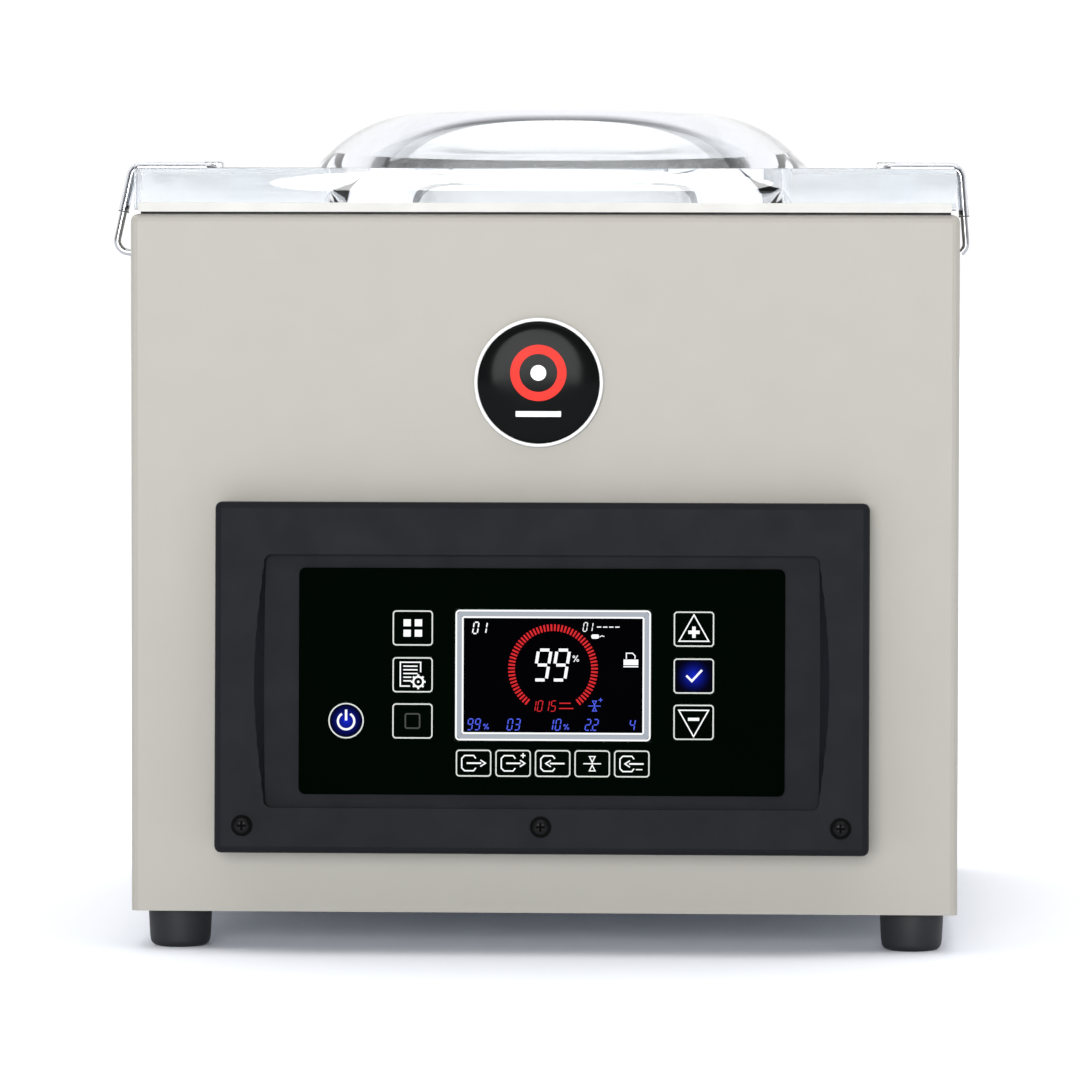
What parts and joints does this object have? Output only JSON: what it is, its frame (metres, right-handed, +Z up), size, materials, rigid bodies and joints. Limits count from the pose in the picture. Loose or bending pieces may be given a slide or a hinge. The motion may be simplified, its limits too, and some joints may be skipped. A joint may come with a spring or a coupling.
{
  "type": "vacuum chamber sealer",
  "caption": "Table-top vacuum chamber sealer: sheet cabinet, clear domed lid on a rear hinge, sealing bar, leaning front control panel with display and keys.",
  "frame": {"origin": "on the table, under the middle of the machine's overall box", "axes": "+Z up, front of the machine towards -Y, +X to the right seen from the front"},
  "size_m": [0.4008, 0.4559, 0.3917],
  "materials": {
    "cabinet_coat": "satin powder coat",
    "base_steel": "zinc-plated sheet",
    "rubber": "matte black",
    "inlet_plastic": "moulded",
    "badge_gloss": "domed gloss resin with a light rim",
    "chamber_steel": "drawn stainless sheet",
    "filler_plastic": "white polyethylene",
    "aluminium": "cast or extruded",
    "seal_band": "flat heating band",
    "silicone": "silicone strip",
    "clear_lid": "clear cast acrylic",
    "clear_sleeve": "clear flexible tube",
    "hook_wire": "bright plated wire and bar",
    "dark_enamel": "enamel",
    "panel_plastic": "fine moulded grain",
    "panel_glass": "black gloss sheet",
    "display_glass": "lit display behind a clear cover",
    "key_plastic": "black key caps with lit outlines",
    "board": "circuit board",
    "black_screw": "black oxide"
  },
  "bodies": {
    "base": {"badge": "badge_gloss", "base_plate": "base_steel", "bezel_screw_left": "black_screw", "bezel_screw_middle": "black_screw", "bezel_screw_right": "black_screw", "cabinet": "cabinet_coat", "chamber_gasket": "rubber", "control_bezel": "panel_plastic", "control_board": "board", "control_overlay": "panel_glass", "foot_front_left": "rubber", "foot_front_right": "rubber", "foot_rear_left": "rubber", "foot_rear_right": "rubber", "gas_spring_cylinder_left": "dark_enamel", "gas_spring_cylinder_right": "dark_enamel", "hinge_block_left": "chamber_steel", "hinge_block_right": "chamber_steel", "lcd_module": "display_glass", "lift_cylinder_left": "aluminium", "lift_cylinder_right": "aluminium", "oil_case": "aluminium", "power_inlet": "inlet_plastic", "pump_housing": "aluminium", "pump_motor": "dark_enamel", "rear_panel": "cabinet_coat", "seal_transformer": "dark_enamel", "vacuum_chamber": "chamber_steel", "vacuum_hose": "rubber", "valve_block": "aluminium"},
    "lid": {"lid": "clear_lid", "counter_bar_holder": "aluminium", "counter_bar": "silicone", "hinge_shaft": "chamber_steel", "hinge_arm_left": "aluminium", "hinge_arm_right": "aluminium"},
    "hook_left": {"lid_hook_left": "hook_wire", "hook_sleeve_left": "clear_sleeve"},
    "hook_right": {"lid_hook_right": "hook_wire", "hook_sleeve_right": "clear_sleeve"},
    "seal": {"seal_bar": "aluminium", "seal_wire": "seal_band", "lift_rod_left": "chamber_steel", "lift_rod_right": "chamber_steel"},
    "filler": {"filler_plate": "filler_plastic"},
    "rotor": {"motor_rotor": "hook_wire"},
    "gas_rod_left": {"gas_spring_rod_left": "hook_wire"},
    "gas_rod_right": {"gas_spring_rod_right": "hook_wire"},
    "key_program_cap": {"key_program": "key_plastic"},
    "key_settings_cap": {"key_settings": "key_plastic"},
    "key_stop_cap": {"key_stop": "key_plastic"},
    "key_plus_cap": {"key_plus": "key_plastic"},
    "key_confirm_cap": {"key_confirm": "key_plastic"},
    "key_minus_cap": {"key_minus": "key_plastic"},
    "key_vacuum_cap": {"key_vacuum": "key_plastic"},
    "key_extra_vacuum_cap": {"key_extra_vacuum": "key_plastic"},
    "key_gas_cap": {"key_gas": "key_plastic"},
    "key_seal_cap": {"key_seal": "key_plastic"},
    "key_air_cap": {"key_air": "key_plastic"},
    "key_power_cap": {"key_power": "key_plastic"}
  },
  "joints": [
    {"name": "lid_hinge", "type": "hinge", "parent": "base", "child": "lid", "pos_m": [0, 0.2095, 0.353], "axis": [-1, 0, 0], "range_deg": [0, 65]},
    {"name": "hook_swing_left", "type": "hinge", "parent": "lid", "child": "hook_left", "pos_m": [-0.158, -0.1595, 0.3638], "axis": [0, 1, 0], "range_deg": [0, 95]},
    {"name": "hook_swing_right", "type": "hinge", "parent": "lid", "child": "hook_right", "pos_m": [0.158, -0.1595, 0.3638], "axis": [0, -1, 0], "range_deg": [0, 95]},
    {"name": "seal_lift", "type": "slide", "parent": "base", "child": "seal", "axis": [0, 0, 1], "range_m": [0, 0.0075]},
    {"name": "filler_plate_lift", "type": "slide", "parent": "base", "child": "filler", "axis": [0, 0, 1], "range_m": [0, 0.1]},
    {"name": "motor_spin", "type": "hinge", "parent": "base", "child": "rotor", "pos_m": [0, 0.065, 0.09], "axis": [1, 0, 0], "continuous": true},
    {"name": "gas_rod_slide_left", "type": "slide", "parent": "base", "child": "gas_rod_left", "axis": [0, 0, 1], "range_m": [0, 0.013]},
    {"name": "gas_rod_slide_right", "type": "slide", "parent": "base", "child": "gas_rod_right", "axis": [0, 0, 1], "range_m": [0, 0.013]},
    {"name": "press_program", "type": "slide", "parent": "base", "child": "key_program_cap", "axis": [0, 0.9988, -0.0494], "range_m": [0, 0.0005], "stiffness_N_per_m": 3000, "springref_m": -0.0003},
    {"name": "press_settings", "type": "slide", "parent": "base", "child": "key_settings_cap", "axis": [0, 0.9988, -0.0494], "range_m": [0, 0.0005], "stiffness_N_per_m": 3000, "springref_m": -0.0003},
    {"name": "press_stop", "type": "slide", "parent": "base", "child": "key_stop_cap", "axis": [0, 0.9988, -0.0494], "range_m": [0, 0.0005], "stiffness_N_per_m": 3000, "springref_m": -0.0003},
    {"name": "press_plus", "type": "slide", "parent": "base", "child": "key_plus_cap", "axis": [0, 0.9988, -0.0494], "range_m": [0, 0.0005], "stiffness_N_per_m": 3000, "springref_m": -0.0003},
    {"name": "press_confirm", "type": "slide", "parent": "base", "child": "key_confirm_cap", "axis": [0, 0.9988, -0.0494], "range_m": [0, 0.0005], "stiffness_N_per_m": 3000, "springref_m": -0.0003},
    {"name": "press_minus", "type": "slide", "parent": "base", "child": "key_minus_cap", "axis": [0, 0.9988, -0.0494], "range_m": [0, 0.0005], "stiffness_N_per_m": 3000, "springref_m": -0.0003},
    {"name": "press_vacuum", "type": "slide", "parent": "base", "child": "key_vacuum_cap", "axis": [0, 0.9988, -0.0494], "range_m": [0, 0.0005], "stiffness_N_per_m": 3000, "springref_m": -0.0003},
    {"name": "press_extra_vacuum", "type": "slide", "parent": "base", "child": "key_extra_vacuum_cap", "axis": [0, 0.9988, -0.0494], "range_m": [0, 0.0005], "stiffness_N_per_m": 3000, "springref_m": -0.0003},
    {"name": "press_gas", "type": "slide", "parent": "base", "child": "key_gas_cap", "axis": [0, 0.9988, -0.0494], "range_m": [0, 0.0005], "stiffness_N_per_m": 3000, "springref_m": -0.0003},
    {"name": "press_seal", "type": "slide", "parent": "base", "child": "key_seal_cap", "axis": [0, 0.9988, -0.0494], "range_m": [0, 0.0005], "stiffness_N_per_m": 3000, "springref_m": -0.0003},
    {"name": "press_air", "type": "slide", "parent": "base", "child": "key_air_cap", "axis": [0, 0.9988, -0.0494], "range_m": [0, 0.0005], "stiffness_N_per_m": 3000, "springref_m": -0.0003},
    {"name": "press_power", "type": "slide", "parent": "base", "child": "key_power_cap", "axis": [0, 0.9988, -0.0494], "range_m": [0, 0.0005], "stiffness_N_per_m": 3000, "springref_m": -0.0003}
  ],
  "couplings": [
    {"joint": "gas_rod_slide_left", "follows": "lid_hinge", "m_per_rad": 0.011367},
    {"joint": "gas_rod_slide_right", "follows": "lid_hinge", "m_per_rad": 0.011367}
  ]
}
